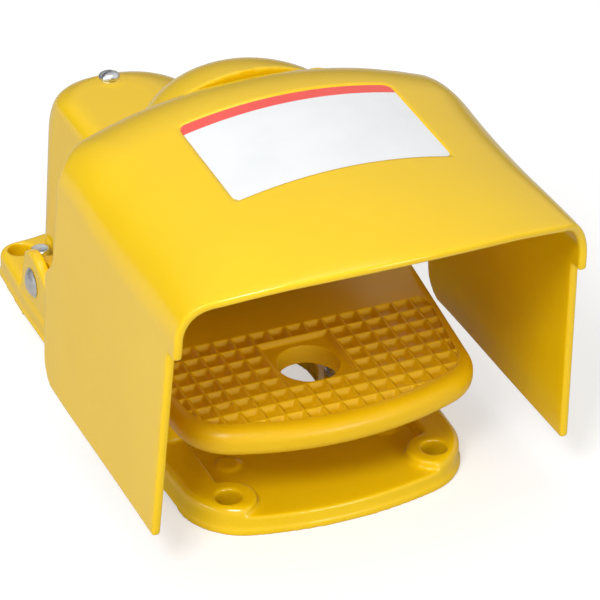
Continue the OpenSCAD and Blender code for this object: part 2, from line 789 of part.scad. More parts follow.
module return_springs() color(zinc)
    both() translate([spring_x, spring_y, spring_low]) polyhedron(
        points = [for (i = [0:spring_steps]) for (k = [0:5])
            let (a = i * 30, r = spring_r + wire_r * cos(k * 60))
            [r * cos(a), r * sin(a), spring_z(i) + wire_r * sin(k * 60)]],
        faces = concat(
            [[0, 1, 2, 3, 4, 5]], [[for (k = [5:-1:0]) spring_steps * 6 + k]],
            [for (i = [0:spring_steps - 1]) for (k = [0:5]) for (f = [0, 1])
                let (a = i * 6, k2 = (k + 1) % 6)
                f == 0 ? [a + k, a + 6 + k, a + 6 + k2] : [a + k, a + 6 + k2, a + k2]]));

// ---- stops and actuator --------------------------------------------------

stop_top = 30.2;
module down_stops() color(black)
    both() translate([stop_x, stop_y, stop_post_z]) {
        intersection() {
            cylinder(r = 6, h = stop_top - stop_post_z);
            translate([0, 0, stop_top - stop_post_z - 16]) sphere(r = 16);
        }
        translate([0, 0, -5.5]) cylinder(r = 2.5, h = 6);
    }

module up_stop() color(black)
    translate([0, up_stop_y, 0]) {
        translate([0, 0, tongue_top + gap]) cylinder(r = 2.8, h = pocket_top - tongue_top - gap);
        translate([0, 0, pocket_top - 1]) cylinder(r = 1.5, h = house_t);
    }

module adjusting_screw() color(zinc)
    translate([0, plunger_y, head_low + head_t + gap]) difference() {
        cylinder(r = 2.5, h = 51.5 - head_low - head_t - gap);
        translate([0, 0, 51.5 - head_low - head_t - gap - 2.5]) hex(2.5, 5);
    }

module lock_nut() color(zinc)
    translate([0, plunger_y, tongue_top]) difference() {
        hex(8, 3.2);
        translate([0, 0, -1]) cylinder(r = 2.5 + fit, h = 6);
    }

module plunger() color(zinc)
    translate([0, plunger_y, 0]) {
        translate([0, 0, stem_low]) cylinder(d = stem_d, h = head_low - stem_low + 0.5);
        translate([0, 0, head_low]) cylinder(r = 5, h = head_t);
    }

module plunger_guide() color([0.78, 0.62, 0.3])
    translate([0, plunger_y, 0]) difference() {
        union() {
            translate([0, 0, shelf_z - shelf_t - 1]) cylinder(r = 4, h = shelf_t + 1.5);
            translate([0, 0, shelf_z]) cylinder(r = 6.5, h = flange_top - shelf_z);
        }
        translate([0, 0, shelf_z - shelf_t - 2]) cylinder(r = stem_d / 2 + fit, h = shelf_t + 6);
    }

module plunger_boot() color(black) {
    h = head_low - flange_top;
    translate([0, plunger_y, flange_top]) rotate_extrude() polygon([
        [stem_d / 2 + 0.4, 0], [6, 0], [6.8, h / 2], [4.8, h], [stem_d / 2 + 0.4, h]]);
}

// ---- micro switch --------------------------------------------------------

module micro_switch() color(black)
    difference() {
        translate([-switch_w / 2, switch_front, switch_top - switch_h])
            cube([switch_w, switch_l, switch_h]);
        translate([0, plunger_y, switch_top - plunger_travel - 3])
            cylinder(r = button_r + fit, h = 12);
        for (y = [2.8, 25]) translate([-switch_w, switch_front + y, switch_top - switch_h + 3])
            rotate([0, 90, 0]) cylinder(r = 1.5 + fit, h = 2 * switch_w);
    }

module switch_button() color([0.75, 0.2, 0.15])
    translate([0, plunger_y, switch_top - 2.4])
        cylinder(r = button_r, h = button_top - switch_top + 2.4);

module switch_terminals() color([0.8, 0.65, 0.3])
    for (z = [4, 8, 12])
        translate([-3.15, switch_front + switch_l, switch_top - switch_h + z - 0.4])
            cube([6.3, 8, 0.8]);

module switch_bracket() color(zinc)
    difference() {
        union() {
            translate([switch_w / 2, switch_front, well_floor])
                cube([bracket_t, switch_l, 16]);
            translate([switch_w / 2, switch_front, well_floor])
                cube([12.5, switch_l, bracket_t]);
        }
        for (y = [2.8, 25]) translate([0, switch_front + y, switch_top - switch_h + 3])
            rotate([0, 90, 0]) cylinder(r = 1.5 + fit, h = 10);
        for (y = [6, 22])
            translate([12, switch_front + y, 0]) cylinder(r = 2 + fit, h = 10);
    }

module switch_screws() color(zinc)
    for (y = [2.8, 25])
        translate([0, switch_front + y, switch_top - switch_h + 3]) rotate([0, 90, 0]) {
            translate([0, 0, -switch_w / 2 - 2]) cylinder(r = 2.7, h = 2);
            translate([0, 0, -switch_w / 2 - 1]) cylinder(r = 1.5, h = switch_w + 5);
            translate([0, 0, switch_w / 2 + bracket_t]) hex(5.5, 2);
        }

module bracket_screws() color(zinc)
    for (y = [6, 22])
        translate([12, switch_front + y, well_floor + bracket_t]) {
            cylinder(r = 3.5, h = 2.4);
            translate([0, 0, -5.2]) cylinder(r = 2, h = 6);
        }

base_plate();
shield();
label_blank();
switch_housing();
housing_gasket();
housing_screws();
shield_screws();
earth_screw();
earth_nut();
conduit_bushing();
pedal();
pivot_bushes();
pivot_pins();
pin_clips();
return_springs();
down_stops();
up_stop();
adjusting_screw();
lock_nut();
plunger();
plunger_guide();
plunger_boot();
micro_switch();
switch_button();
switch_terminals();
switch_bracket();
switch_screws();
bracket_screws();
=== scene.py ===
import bmesh
import bpy
import math
from mathutils import Matrix, Vector


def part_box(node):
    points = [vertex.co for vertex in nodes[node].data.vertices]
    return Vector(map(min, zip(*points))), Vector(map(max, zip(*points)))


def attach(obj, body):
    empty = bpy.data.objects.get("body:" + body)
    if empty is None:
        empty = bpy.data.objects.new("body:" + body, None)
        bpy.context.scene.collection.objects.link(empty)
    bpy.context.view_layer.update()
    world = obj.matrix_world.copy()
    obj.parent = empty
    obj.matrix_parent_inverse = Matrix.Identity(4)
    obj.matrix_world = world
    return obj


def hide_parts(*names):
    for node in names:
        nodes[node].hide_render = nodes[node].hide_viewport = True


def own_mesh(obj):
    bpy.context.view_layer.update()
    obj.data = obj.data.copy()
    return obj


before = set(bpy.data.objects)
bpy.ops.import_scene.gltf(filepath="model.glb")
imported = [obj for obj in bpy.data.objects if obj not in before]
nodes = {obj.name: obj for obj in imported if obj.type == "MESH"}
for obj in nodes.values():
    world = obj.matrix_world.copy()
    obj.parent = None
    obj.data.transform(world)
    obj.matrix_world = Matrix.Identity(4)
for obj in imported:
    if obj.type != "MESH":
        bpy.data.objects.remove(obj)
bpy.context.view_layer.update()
scene = bpy.context.scene

# ---- sizes in millimetres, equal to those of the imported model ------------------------

BASE_H = 11.5
FLOOR_T = 8.0
PIVOT = (158.0, 20.5)
BOLT_FRONT = 41.5
BOLT_REAR = 52.0
HOOD_HALF = 78.3
HOOD_LOW = 23.0
HOOD_T = 3.3
CROWN_R = 180.0
RIM_Y = 79.5
SEAT_Z = 126.0
BOSSES = [(-24, 54), (24, 54), (-24, 69), (24, 69)]
HOLE_Y = 22.4
TREAD_Z = 47.6
TILT = math.radians(2.2)
HOUSE_X = -9.5
HOUSE_W = 73.0
HOUSE_FRONT = 114.0
HOUSE_REAR = 204.0
HOUSE_H = 92.5
HOUSE_T = 4.0
FLANGE_Z = 12.3
FLANGE_T = 4.5
CONDUIT_Z = 42.0
PLUNGER_Y = 127.0
TURRET_Y = 70.0
TURRET_HALF = (46.0, 54.0)
TURRET_LOW, TURRET_SPRING, TURRET_TOP = 66.0, 106.0, 140.7
REAR_CORNER = (BOLT_REAR, 200.0)
LUG_IN, LUG_OUT = 56.6, 61.2
ARM_IN, ARM_OUT = 50.6, 56.1
PIN_R = 4.0
SPRING = (32.0, 65.0)
SPRING_R, WIRE_R = 5.6, 0.9
M5_HOLE, M5_CLEAR = 2.55, 2.65
MOUNT_R = 4.9
EARTH = (HOUSE_X - 8, HOUSE_REAR - 24, HOUSE_H - 0.2)
EARTH_TILT = math.radians(-6)
SCREWS = [(HOUSE_X + s * p[0], p[1]) for p in ((30.5, 108.2), (39.7, 181.5)) for s in (-1, 1)]


# ---- outlines ------------------------------------------------------------------------

def arc(c, r, a0, a1, n):
    """Points of an arc about c, angles in degrees."""
    return [(c[0] + r * math.cos(math.radians(a0 + (a1 - a0) * i / n)),
             c[1] + r * math.sin(math.radians(a0 + (a1 - a0) * i / n))) for i in range(n + 1)]


def both_sides(half):
    """Completes an outline drawn on the +X side with its mirror image."""
    return half + [(-x, y) for x, y in reversed(half) if x > 0.001]


def smooth(t):
    """Eases from 0 to 1, flat at both ends."""
    u = min(1.0, max(0.0, t))
    return u * u * (3 - 2 * u)


# ---- solids, all as (vertices, faces) in millimetres ---------------------------------

def loft(rings):
    """Skin over rings of equally many points, closed at both ends."""
    n, m = len(rings[0]), len(rings)
    verts = [p for r in rings for p in r]
    faces = [tuple(reversed(range(n))), tuple((m - 1) * n + i for i in range(n))]
    for k in range(m - 1):
        for i in range(n):
            j = (i + 1) % n
            faces.append((k * n + i, k * n + j, (k + 1) * n + j, (k + 1) * n + i))
    return verts, faces


def prism(outline, z0, z1):
    """Raises an outline drawn as (x, y) from z0 to z1."""
    return loft([[(x, y, z) for x, y in outline] for z in (z0, z1)])


def profile(outline, x0, x1):
    """Extrudes an outline drawn as (y, z) along X."""
    return loft([[(x, p[0], p[1]) for p in outline] for x in (x0, x1)])


def block(lo, hi):
    return prism([(lo[0], lo[1]), (hi[0], lo[1]), (hi[0], hi[1]), (lo[0], hi[1])], lo[2], hi[2])


def rod(c, r, z0, z1, n=48):
    return prism(arc(c, r, 0, 360, n)[:-1], z0, z1)


def lathe(rows, n=64):
    """Turns (radius, z) rows round Z; every radius is above 0."""
    return loft([[(r * math.cos(2 * math.pi * i / n), r * math.sin(2 * math.pi * i / n), z)
                  for i in range(n)] for r, z in rows])


def tube(rows, n=64):
    """Turns a closed (radius, z) outline round Z into a ring."""
    m = len(rows)
    verts = [(r * math.cos(2 * math.pi * i / n), r * math.sin(2 * math.pi * i / n), z)
             for i in range(n) for r, z in rows]
    faces = []
    for i in range(n):
        for k in range(m):
            a, b = i * m + k, i * m + (k + 1) % m
            c, d = ((i + 1) % n) * m + (k + 1) % m, ((i + 1) % n) * m + k
            faces.append((a, d, c, b))
    return verts, faces


def moved(solid, matrix):
    return [tuple(matrix @ Vector(v)) for v in solid[0]], solid[1]


def shifted(solid, x, y, z):
    return moved(solid, Matrix.Translation((x, y, z)))


def along_x(solid):
    """Turns a solid made along Z so that it runs along X."""
    return moved(solid, Matrix.Rotation(math.pi / 2, 4, "Y"))


def mirrored(solid):
    return [(-x, y, z) for x, y, z in solid[0]], [tuple(reversed(f)) for f in solid[1]]


def pair(solid):
    return [solid, mirrored(solid)]


def joined(solids):
    verts, faces = [], []
    for v, f in solids:
        k = len(verts)
        verts += list(v)
        faces += [tuple(i + k for i in face) for face in f]
    return verts, faces


# ---- objects -------------------------------------------------------------------------

def new_object(name, solid):
    mesh = bpy.data.meshes.new(name)
    mesh.from_pydata([tuple(v) for v in solid[0]], [], solid[1])
    mesh.validate()
    mesh.update()
    obj = bpy.data.objects.new(name, mesh)
    scene.collection.objects.link(obj)
    return obj


def apply_all(obj):
    """Applies the object's modifiers to its mesh."""
    deps = bpy.context.evaluated_depsgraph_get()
    deps.update()
    mesh = bpy.data.meshes.new_from_object(obj.evaluated_get(deps))
    old = obj.data
    obj.modifiers.clear()
    obj.data = mesh
    bpy.data.meshes.remove(old)


SOLVERS = [i.identifier for i in bpy.types.BooleanModifier.bl_rna.properties["solver"].enum_items]


def taken(obj):
    """The object's solid; the object itself goes."""
    solid = ([tuple(v.co) for v in obj.data.vertices],
             [tuple(p.vertices) for p in obj.data.polygons])
    bpy.data.objects.remove(obj)
    return solid


def carve(obj, solid, operation):
    """Adds, removes or keeps a solid, as one boolean step."""
    tool = new_object("tool", solid)
    mod = obj.modifiers.new("b", "BOOLEAN")
    mod.operation = operation
    mod.solver = "MANIFOLD" if "MANIFOLD" in SOLVERS else "EXACT"
    mod.object = tool
    apply_all(obj)
    bpy.data.objects.remove(tool)


def add(obj, *solids):
    for s in solids:
        carve(obj, s, "UNION")


def cut(obj, *solids):
    for s in solids:
        carve(obj, s, "DIFFERENCE")


def soften(obj, voxel, rounds, keep=1.0):
    """Casts the solid in one skin with rounded edges and fillets."""
    mod = obj.modifiers.new("r", "REMESH")
    mod.mode = "VOXEL"
    mod.voxel_size = voxel
    mod.use_smooth_shade = True
    mod = obj.modifiers.new("s", "SMOOTH")
    mod.factor = 0.5
    mod.iterations = rounds
    if keep < 1:
        mod = obj.modifiers.new("d", "DECIMATE")
        mod.ratio = keep
    apply_all(obj)


def finish_piece(obj, body, material, replaced=(), flat_angle=None):
    """Millimetres to metres, shading, material, body and the CAD node it stands for."""
    obj.data.transform(Matrix.Scale(0.001, 4))
    obj.data.polygons.foreach_set("use_smooth", [True] * len(obj.data.polygons))
    if flat_angle:
        obj.data.set_sharp_from_angle(angle=math.radians(flat_angle))
    obj.data.materials.clear()
    obj.data.materials.append(material)
    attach(obj, body)
    if replaced:
        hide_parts(*replaced)
    return obj


# ---- materials -----------------------------------------------------------------------

class Nodes:
    """A material with its Principled shader, and short ways to add to it."""

    def __init__(self, name, roughness, metallic=0.0):
        self.material = bpy.data.materials.new(name)
        self.material.use_nodes = True
        self.tree = self.material.node_tree
        self.shader = self.tree.nodes["Principled BSDF"]
        self.shader.inputs["Roughness"].default_value = roughness
        self.shader.inputs["Metallic"].default_value = metallic
        self.place = self.tree.nodes.new("ShaderNodeTexCoord").outputs["Object"]

    def node(self, kind, **values):
        n = self.tree.nodes.new(kind)
        for key, value in values.items():
            n.inputs[key.replace("_", " ")].default_value = value
        return n

    def link(self, a, b):
        self.tree.links.new(a, b)

    def noise(self, scale, detail=3.0, roughness=0.55):
        n = self.node("ShaderNodeTexNoise", Scale=scale, Detail=detail, Roughness=roughness)
        self.link(self.place, n.inputs["Vector"])
        return n.outputs["Fac"]

    def ramp(self, fac, stops):
        r = self.tree.nodes.new("ShaderNodeValToRGB")
        while len(r.color_ramp.elements) < len(stops):
            r.color_ramp.elements.new(0.5)
        for e, (pos, value) in zip(r.color_ramp.elements, stops):
            e.position = pos
            e.color = (*value, 1) if isinstance(value, tuple) else (value, value, value, 1)
        self.link(fac, r.inputs["Fac"])
        return r.outputs["Color"]

    def colour(self, scale, low, high, detail=4.0):
        self.link(self.ramp(self.noise(scale, detail), [(0.3, low), (0.7, high)]),
                  self.shader.inputs["Base Color"])

    def rough(self, scale, low, high):
        self.link(self.ramp(self.noise(scale, 5.0), [(0.3, low), (0.7, high)]),
                  self.shader.inputs["Roughness"])

    def bump(self, layers):
        """layers: (height, strength, distance in metres)."""
        normal = None
        for height, strength, distance in layers:
            b = self.node("ShaderNodeBump", Strength=strength, Distance=distance)
            self.link(height, b.inputs["Height"])
            if normal:
                self.link(normal, b.inputs["Normal"])
            normal = b.outputs["Normal"]
        self.link(normal, self.shader.inputs["Normal"])


def enamel(name, low, high, rough_low, rough_high, level=0.5):
    """Stoved yellow enamel on a die casting, with faint orange peel."""
    m = Nodes(name, rough_low)
    m.colour(14.0, low, high)
    m.rough(60.0, rough_low, rough_high)
    m.bump([(m.noise(180.0, 1.0), 0.1, 0.0004)])
    m.shader.inputs["Specular IOR Level"].default_value = level
    return m.material


def metal(name, low, high, rough_low, rough_high, grain=900.0, strength=0.15):
    m = Nodes(name, rough_low, 1.0)
    m.colour(300.0, low, high)
    m.rough(450.0, rough_low, rough_high)
    m.bump([(m.noise(grain, 3.0), strength, 0.0001)])
    return m.material


def moulded(name, low, high, rough_low, rough_high, grain=1200.0, strength=0.2):
    m = Nodes(name, rough_low)
    m.colour(200.0, low, high)
    m.rough(500.0, rough_low, rough_high)
    m.bump([(m.noise(grain, 4.0), strength, 0.0001)])
    return m.material


def label_vinyl(name, low, high):
    """Printed vinyl under a satin film."""
    m = Nodes(name, 0.42)
    m.colour(40.0, low, high)
    m.rough(700.0, 0.36, 0.48)
    m.bump([(m.noise(1800.0, 2.0), 0.08, 0.0001), (m.noise(60.0, 2.0), 0.06, 0.0003)])
    return m.material


YELLOW = enamel("enamel_yellow", (0.85, 0.54, 0.002), (0.89, 0.58, 0.004), 0.13, 0.2)
TREAD = enamel("enamel_tread", (0.80, 0.48, 0.002), (0.84, 0.52, 0.004), 0.28, 0.42, 0.35)
ZINC = metal("zinc_plated", (0.60, 0.61, 0.63), (0.74, 0.75, 0.77), 0.2, 0.38)
STEEL = metal("spring_steel", (0.42, 0.42, 0.43), (0.56, 0.56, 0.57), 0.24, 0.4)
BRASS = metal("brass", (0.72, 0.52, 0.20), (0.83, 0.62, 0.28), 0.22, 0.4)
BRONZE = metal("bronze", (0.48, 0.28, 0.11), (0.60, 0.37, 0.16), 0.35, 0.55, 1600.0, 0.35)
RUBBER = moulded("black_rubber", (0.012, 0.012, 0.012), (0.03, 0.03, 0.03), 0.55, 0.75)
CASE = moulded("switch_case", (0.02, 0.02, 0.022), (0.04, 0.04, 0.043), 0.35, 0.5)
RED = moulded("button_red", (0.50, 0.03, 0.02), (0.60, 0.05, 0.03), 0.3, 0.45)
WHITE_FILM = label_vinyl("label_white", (0.80, 0.82, 0.83), (0.86, 0.87, 0.88))
RED_FILM = label_vinyl("label_red", (0.84, 0.09, 0.075), (0.90, 0.12, 0.095))


# ---- shield --------------------------------------------------------------------------

def roof_mid(y):
    return (147.3 + 0.0424 * (y - 45) - max(0.0, y - 42) ** 2 / 122
            - max(0.0, -20 - y) ** 2 / 540)


def roof_z(x, y):
    return roof_mid(y) - CROWN_R + math.sqrt(CROWN_R ** 2 - x * x)


def shoulder_r(y):
    return 32 - 12 * min(1.0, ((y - 10) / 60) ** 2)


def shoulder(y):
    """Radius, centre (x, z) and end angle of the shoulder arc at y."""
    r = shoulder_r(y)
    xc = HOOD_HALF - r
    zc = roof_mid(y) - CROWN_R + math.sqrt((CROWN_R - r) ** 2 - xc * xc)
    return r, xc, zc, math.atan2(zc - roof_mid(y) + CROWN_R, xc)


LABEL_X, LABEL_Y0, LABEL_Y1 = 41.3, -9.8, 44.5
LABEL_SUNK, LABEL_T = 0.22, 0.44
PANEL_TOP = 103.5
WALL_Z = [HOOD_LOW + 2.683 * i for i in range(29)] + [PANEL_TOP - 2.6, PANEL_TOP]
ARC_N = 26
ROOF_X = [47.0, 44.5, 42.6, LABEL_X + 0.35, LABEL_X, 39, 36, 32, 28, 24, 20, 16, 12, 8, 4, 0]
HALF_ROWS = len(WALL_Z) + 1 + ARC_N + len(ROOF_X)


def hood_row(k, y):
    """Point (x, z) of section row k at y, on the outer face, on the +X side."""
    r, xc, zc, end = shoulder(y)
    if k < len(WALL_Z):
        z = WALL_Z[k]
        return HOOD_HALF + (zc - z) * 0.048, z
    k -= len(WALL_Z)
    if k <= ARC_N:
        a = end * k / ARC_N
        return xc + r * math.cos(a), zc + r * math.sin(a)
    # the roof rows spread from the end of the arc to the middle
    x0 = xc + r * math.cos(end)
    x = ROOF_X[k - ARC_N - 1]
    if x > LABEL_X + 1:
        x = LABEL_X + 0.7 + (x - LABEL_X - 0.7) * (x0 - LABEL_X - 0.7) / (50 - LABEL_X - 0.7)
    return x, roof_z(x, y)


def visor_front(x):
    return -67 + x * x / 280


REAR_EDGE = ([(75.2 + 11 * math.cos(math.radians(a)), 34 + 11 * math.sin(math.radians(a)))
              for a in (-78, -60, -45, -30, -15, -8)]
             + [(86.2 - 9 * smooth(i / 8), 67 + 12 * i / 8) for i in range(9)]
             + [(75.6, 88), (73.4, 106), (72.3, 118), (74.6, 122), (RIM_Y, 127)])


def rear_y(z):
    if z >= 127:
        return RIM_Y
    if z <= REAR_EDGE[0][1]:
        return REAR_EDGE[0][0]
    for (y0, z0), (y1, z1) in zip(REAR_EDGE, REAR_EDGE[1:]):
        if z0 <= z <= z1:
            return y0 + (y1 - y0) * (z - z0) / (z1 - z0)
    return RIM_Y


def front_y(z):
    """Front edge of the side panels."""
    return -29.2 - 8.8 * (z - 24) / 76.5


COLS = [-33, -28, -23, -18, -14, -11, LABEL_Y0 - 0.35, LABEL_Y0, -5, 0, 5, 10, 15, 20, 25, 30, 35,
        40, LABEL_Y1, LABEL_Y1 + 0.35, 47, 50, 53.5, 57, 60.5, 64, 67.5]


def label_corner(x, y, grow):
    """True inside the label's rounded outline, grown by grow."""
    r = 3.0 + grow
    dx = max(0.0, abs(x) - (LABEL_X + grow - r))
    mid = (LABEL_Y0 + LABEL_Y1) / 2
    dy = max(0.0, abs(y - mid) - ((LABEL_Y1 - LABEL_Y0) / 2 + grow - r))
    return math.hypot(dx, dy) <= r


def mark_rim(obj):
    """Gives the sharp edges of the rim their bevel weight; the label's recess stays crisp."""
    bm = bmesh.new()
    bm.from_mesh(obj.data)
    weight = bm.edges.layers.float.new("bevel_weight_edge")
    for e in bm.edges:
        if len(e.link_faces) == 2 and e.calc_face_angle(0) > math.radians(55):
            x, y = abs(e.verts[0].co.x), e.verts[0].co.y
            if not (x < 46 and -16 < y < 50):
                e[weight] = 1.0
    bm.to_mesh(obj.data)
    bm.free()


def hood_skin():
    """Outer face of the shield as one grid: left edge, over the roof, right edge."""
    verts, rows = [], []
    n = 2 * HALF_ROWS - 1
    for j in range(n):
        k = j if j < HALF_ROWS else n - 1 - j
        side = -1 if j < HALF_ROWS else 1
        edge_x, edge_z = hood_row(k, -42)
        rear_z = hood_row(k, 76)[1]
        last = rear_y(rear_z)
        ys = []
        if k >= len(WALL_Z) - 1:
            tip = visor_front(min(edge_x, HOOD_HALF))
            rise = edge_z - PANEL_TOP
            if rise < 4:
                tip = max(tip, -44.2 - math.sqrt(max(0.0, 16 - (4 - rise) ** 2)))
            ys = [tip + (-38.4 - tip) * t for t in (0, 0.25, 0.5, 0.75)]
            first = -38.4
        else:
            ys = [None] * 4
            first = front_y(WALL_Z[k])
        ys.append(first)
        if k > len(WALL_Z) + ARC_N:
            ys += COLS
        else:
            ys += [first + (last - 6 - first) * (c + 38.4) / (73.5 + 38.4) for c in COLS]
        ys += [last - 5.6, last - 2.8, last]
        row = []
        for y in ys:
            if y is None:
                row.append(None)
                continue
            x, z = hood_row(k, y)
            if label_corner(x, y, 0.2):
                z -= 0.7
            row.append(len(verts))
            verts.append((side * x, y, z))
        rows.append(row)
    faces = []
    for a, b in zip(rows, rows[1:]):
        for i in range(len(a) - 1):
            quad = (a[i], b[i], b[i + 1], a[i + 1])
            if None not in quad:
                faces.append(quad)
    return verts, faces


def shield():
    """The skin thickened inwards with a rounded rim, and the screw bosses under its roof."""
    obj = new_object("foot_shield", hood_skin())
    mod = obj.modifiers.new("t", "SOLIDIFY")
    mod.thickness = HOOD_T
    mod.offset = -1
    mod.use_even_offset = True
    apply_all(obj)
    mark_rim(obj)
    mod = obj.modifiers.new("b", "BEVEL")
    mod.limit_method = "WEIGHT"
    mod.width = 1.35
    mod.segments = 4
    mod.use_clamp_overlap = False
    mod.harden_normals = False
    apply_all(obj)
    finish_piece(obj, "frame", YELLOW, ["shield"])
    ring = [tube([(2.55, SEAT_Z), (5.9, SEAT_Z), (5.9, roof_z(x, y) - 2.4),
                  (2.55, roof_z(x, y) - 2.4)], 40) for x, y in BOSSES]
    bosses = new_object("shield_bosses", joined(
        [shifted(r, x, y, 0) for r, (x, y) in zip(ring, BOSSES)]))
    finish_piece(bosses, "frame", YELLOW, flat_angle=40)
    return obj


def sliced(obj, axis, lo, step):
    """Cuts faces along an axis at even steps, so that they can bend."""
    bm = bmesh.new()
    bm.from_mesh(obj.data)
    for i in range(30):
        spot, normal = [0, 0, 0], [0, 0, 0]
        spot[axis] = lo + i * step
        normal[axis] = 1
        bmesh.ops.bisect_plane(bm, geom=bm.verts[:] + bm.edges[:] + bm.faces[:],
                               plane_co=spot, plane_no=normal)
    bm.to_mesh(obj.data)
    bm.free()


def label():
    """Blank field: a white film with a plain red band along its rear edge."""
    r = 3.0
    band = LABEL_Y1 - 5.8
    field = (arc((-LABEL_X + r, LABEL_Y0 + r), r, 180, 270, 6)
             + arc((LABEL_X - r, LABEL_Y0 + r), r, 270, 360, 6)
             + [(LABEL_X, band), (-LABEL_X, band)])
    header = (arc((LABEL_X - r, LABEL_Y1 - r), r, 0, 90, 6)
              + arc((-LABEL_X + r, LABEL_Y1 - r), r, 90, 180, 6)
              + [(-LABEL_X, band), (LABEL_X, band)])
    for name, outline, mat in (("label_field", field, WHITE_FILM),
                               ("label_band", header, RED_FILM)):
        obj = new_object(name, prism(outline, 120, 160))
        for step, axis, lo in ((3.0, 0, -39), (4.0, 1, -8)):
            sliced(obj, axis, lo, step)
        for v in obj.data.vertices:
            top = v.co.z > 140
            v.co.z = roof_z(v.co.x, v.co.y) - (LABEL_SUNK if top else LABEL_SUNK + LABEL_T)
        finish_piece(obj, "frame", mat,
                     ["label_blank"] if name == "label_field" else (), 40)


# ---- base ----------------------------------------------------------------------------

def base_outline(o):
    """Outline of the base, grown by o: curved nose, straight sides, rounded rear corners."""
    nose_r, corner_r, cx = 137, 26, 29.6
    c = (0, nose_r - 16.5)
    cy = c[1] - math.sqrt((nose_r - corner_r) ** 2 - cx ** 2)
    a1 = math.degrees(math.atan2(cy - c[1], cx))
    tail = []
    for i in range(1, 13):
        x = (BOLT_REAR - 3) * (1 - i / 12)
        u = x / BOLT_REAR
        tail.append((x, 200 + o + 14 - (14 - 8.2 + 1) * u * u))
    return both_sides(
        arc(c, nose_r + o, -90, a1, 10) + arc((cx, cy), corner_r + o, a1 + 2, -2, 20)
        + [(62 + o, 140), (62 + o, 167.5)]
        + arc(REAR_CORNER, 8.2 + o, 4, 84, 14) + tail)


def base_plate():
    """Base casting with sunken floor, bolt pads, pivot lugs, stop posts and drain opening."""
    steps = [(0, 0.7), (2.4, 0.7), (2.9, 0), (8.5, 0), (10.2, -0.7), (11.1, -1.8), (11.5, -3.2)]
    obj = new_object("base_casting", loft(
        [[(x, y, z) for x, y in base_outline(o)] for z, o in steps]))
    recess = new_object("recess", block((-42, -60, FLOOR_T), (42, 102, 30)))
    for s in (-1, 1):
        cut(recess, rod((s * BOLT_FRONT, 0), 10.5, 0, 40))
    cut(recess, *pair(block((BOLT_FRONT, -70, 0), (90, 0, 40))))
    cut(obj, taken(recess))
    lug = (arc(PIVOT, 13, 55, 125, 16)
           + [(PIVOT[0] - 13, PIVOT[1] + 8.6), (PIVOT[0] - 34, BASE_H - 2),
              (PIVOT[0] + 16, BASE_H - 2), (PIVOT[0] + 9, PIVOT[1] + 9.3)])
    for s in pair(profile(list(reversed(lug)), LUG_IN, LUG_OUT)):
        add(obj, s)
    for s in (-1, 1):
        add(obj, rod((s * 46, 48), 7, 1, 24), rod((s * SPRING[0], SPRING[1]), 4.3, 1, 10),
            rod((s * 32, 24), 4.5, 1, 8.8))
        cut(obj, rod((s * BOLT_FRONT, 0), MOUNT_R, -1, 30),
            rod((s * BOLT_REAR, REAR_CORNER[1]), MOUNT_R, -1, 30),
            rod((s * 46, 48), M5_HOLE, 18, 30))
    cut(obj, rod((0, 80), 26, -1, 30, 96), block((-18, 118, 5), (18, 150, 30)))
    cut(obj, *pair(block((49.6, 144, FLOOR_T), (LUG_IN, 172, 20))))
    cut(obj, *pair(block((48, 15, -1), (80, 167.5, 1.2))))
    cut(obj, *pair(shifted(along_x(rod((0, 0), PIN_R + 0.05, LUG_IN - 1, 63)), 0, PIVOT[0], PIVOT[1])))
    cut(obj, *[rod(p, M5_HOLE, 2.5, 30) for p in SCREWS])
    soften(obj, 0.62, 11, 0.5)
    return finish_piece(obj, "frame", YELLOW, ["base_plate"])


# ---- pedal ---------------------------------------------------------------------------

def pedal_outline(o):
    """Outline of the treadle, grown by o: curved nose and flared sides."""
    nose_r, corner_r, half, rear = 125, 22, 58.8, 82
    c = (0, nose_r - 20)
    cx = half - corner_r
    cy = c[1] - math.sqrt((nose_r - corner_r) ** 2 - cx ** 2)
    a1 = math.degrees(math.atan2(cy - c[1], cx))
    rear_x = half + (rear - 12 - cy) * math.tan(math.radians(5.2)) + 0.4 - 12
    return both_sides(
        arc(c, nose_r + o, -90, a1, 14) + arc((cx, cy), corner_r + o, a1 + 2, -5.2, 20)
        + arc((rear_x, rear - 12), 12 + o, -5.2, 90, 12) + [(0, rear + o)])


def tread_outline():
    """Outline of the field of tread pockets."""
    c = (0, 118 - 13.2)
    cx, corner = 38.5, 15
    cy = c[1] - math.sqrt((118 - corner) ** 2 - cx ** 2)
    a1 = math.degrees(math.atan2(cy - c[1], cx))
    return both_sides(arc(c, 118, -90, a1, 14) + arc((cx, cy), corner, a1 + 2, -7, 14)
                      + arc((52, 40.4), 6, -7, 90, 8) + [(0, 46.4)])


def pocket(x0, x1, y0, y1, depth=2.0, run=1.5):
    """Cutter of one tread pocket: wide at the top, sloped walls, flat floor."""
    grow = run * 0.5 / depth
    lo = [(x0 + run, y0 + run), (x1 - run, y0 + run), (x1 - run, y1 - run), (x0 + run, y1 - run)]
    hi = [(x0 - grow, y0 - grow), (x1 + grow, y0 - grow), (x1 + grow, y1 + grow),
          (x0 - grow, y1 + grow)]
    return loft([[(x, y, -depth) for x, y in lo], [(x, y, 0.5) for x, y in hi]])


def plate_top(y):
    """Height of the treadle's tilted top face at y."""
    return TREAD_Z + (y - HOLE_Y) * math.tan(TILT)


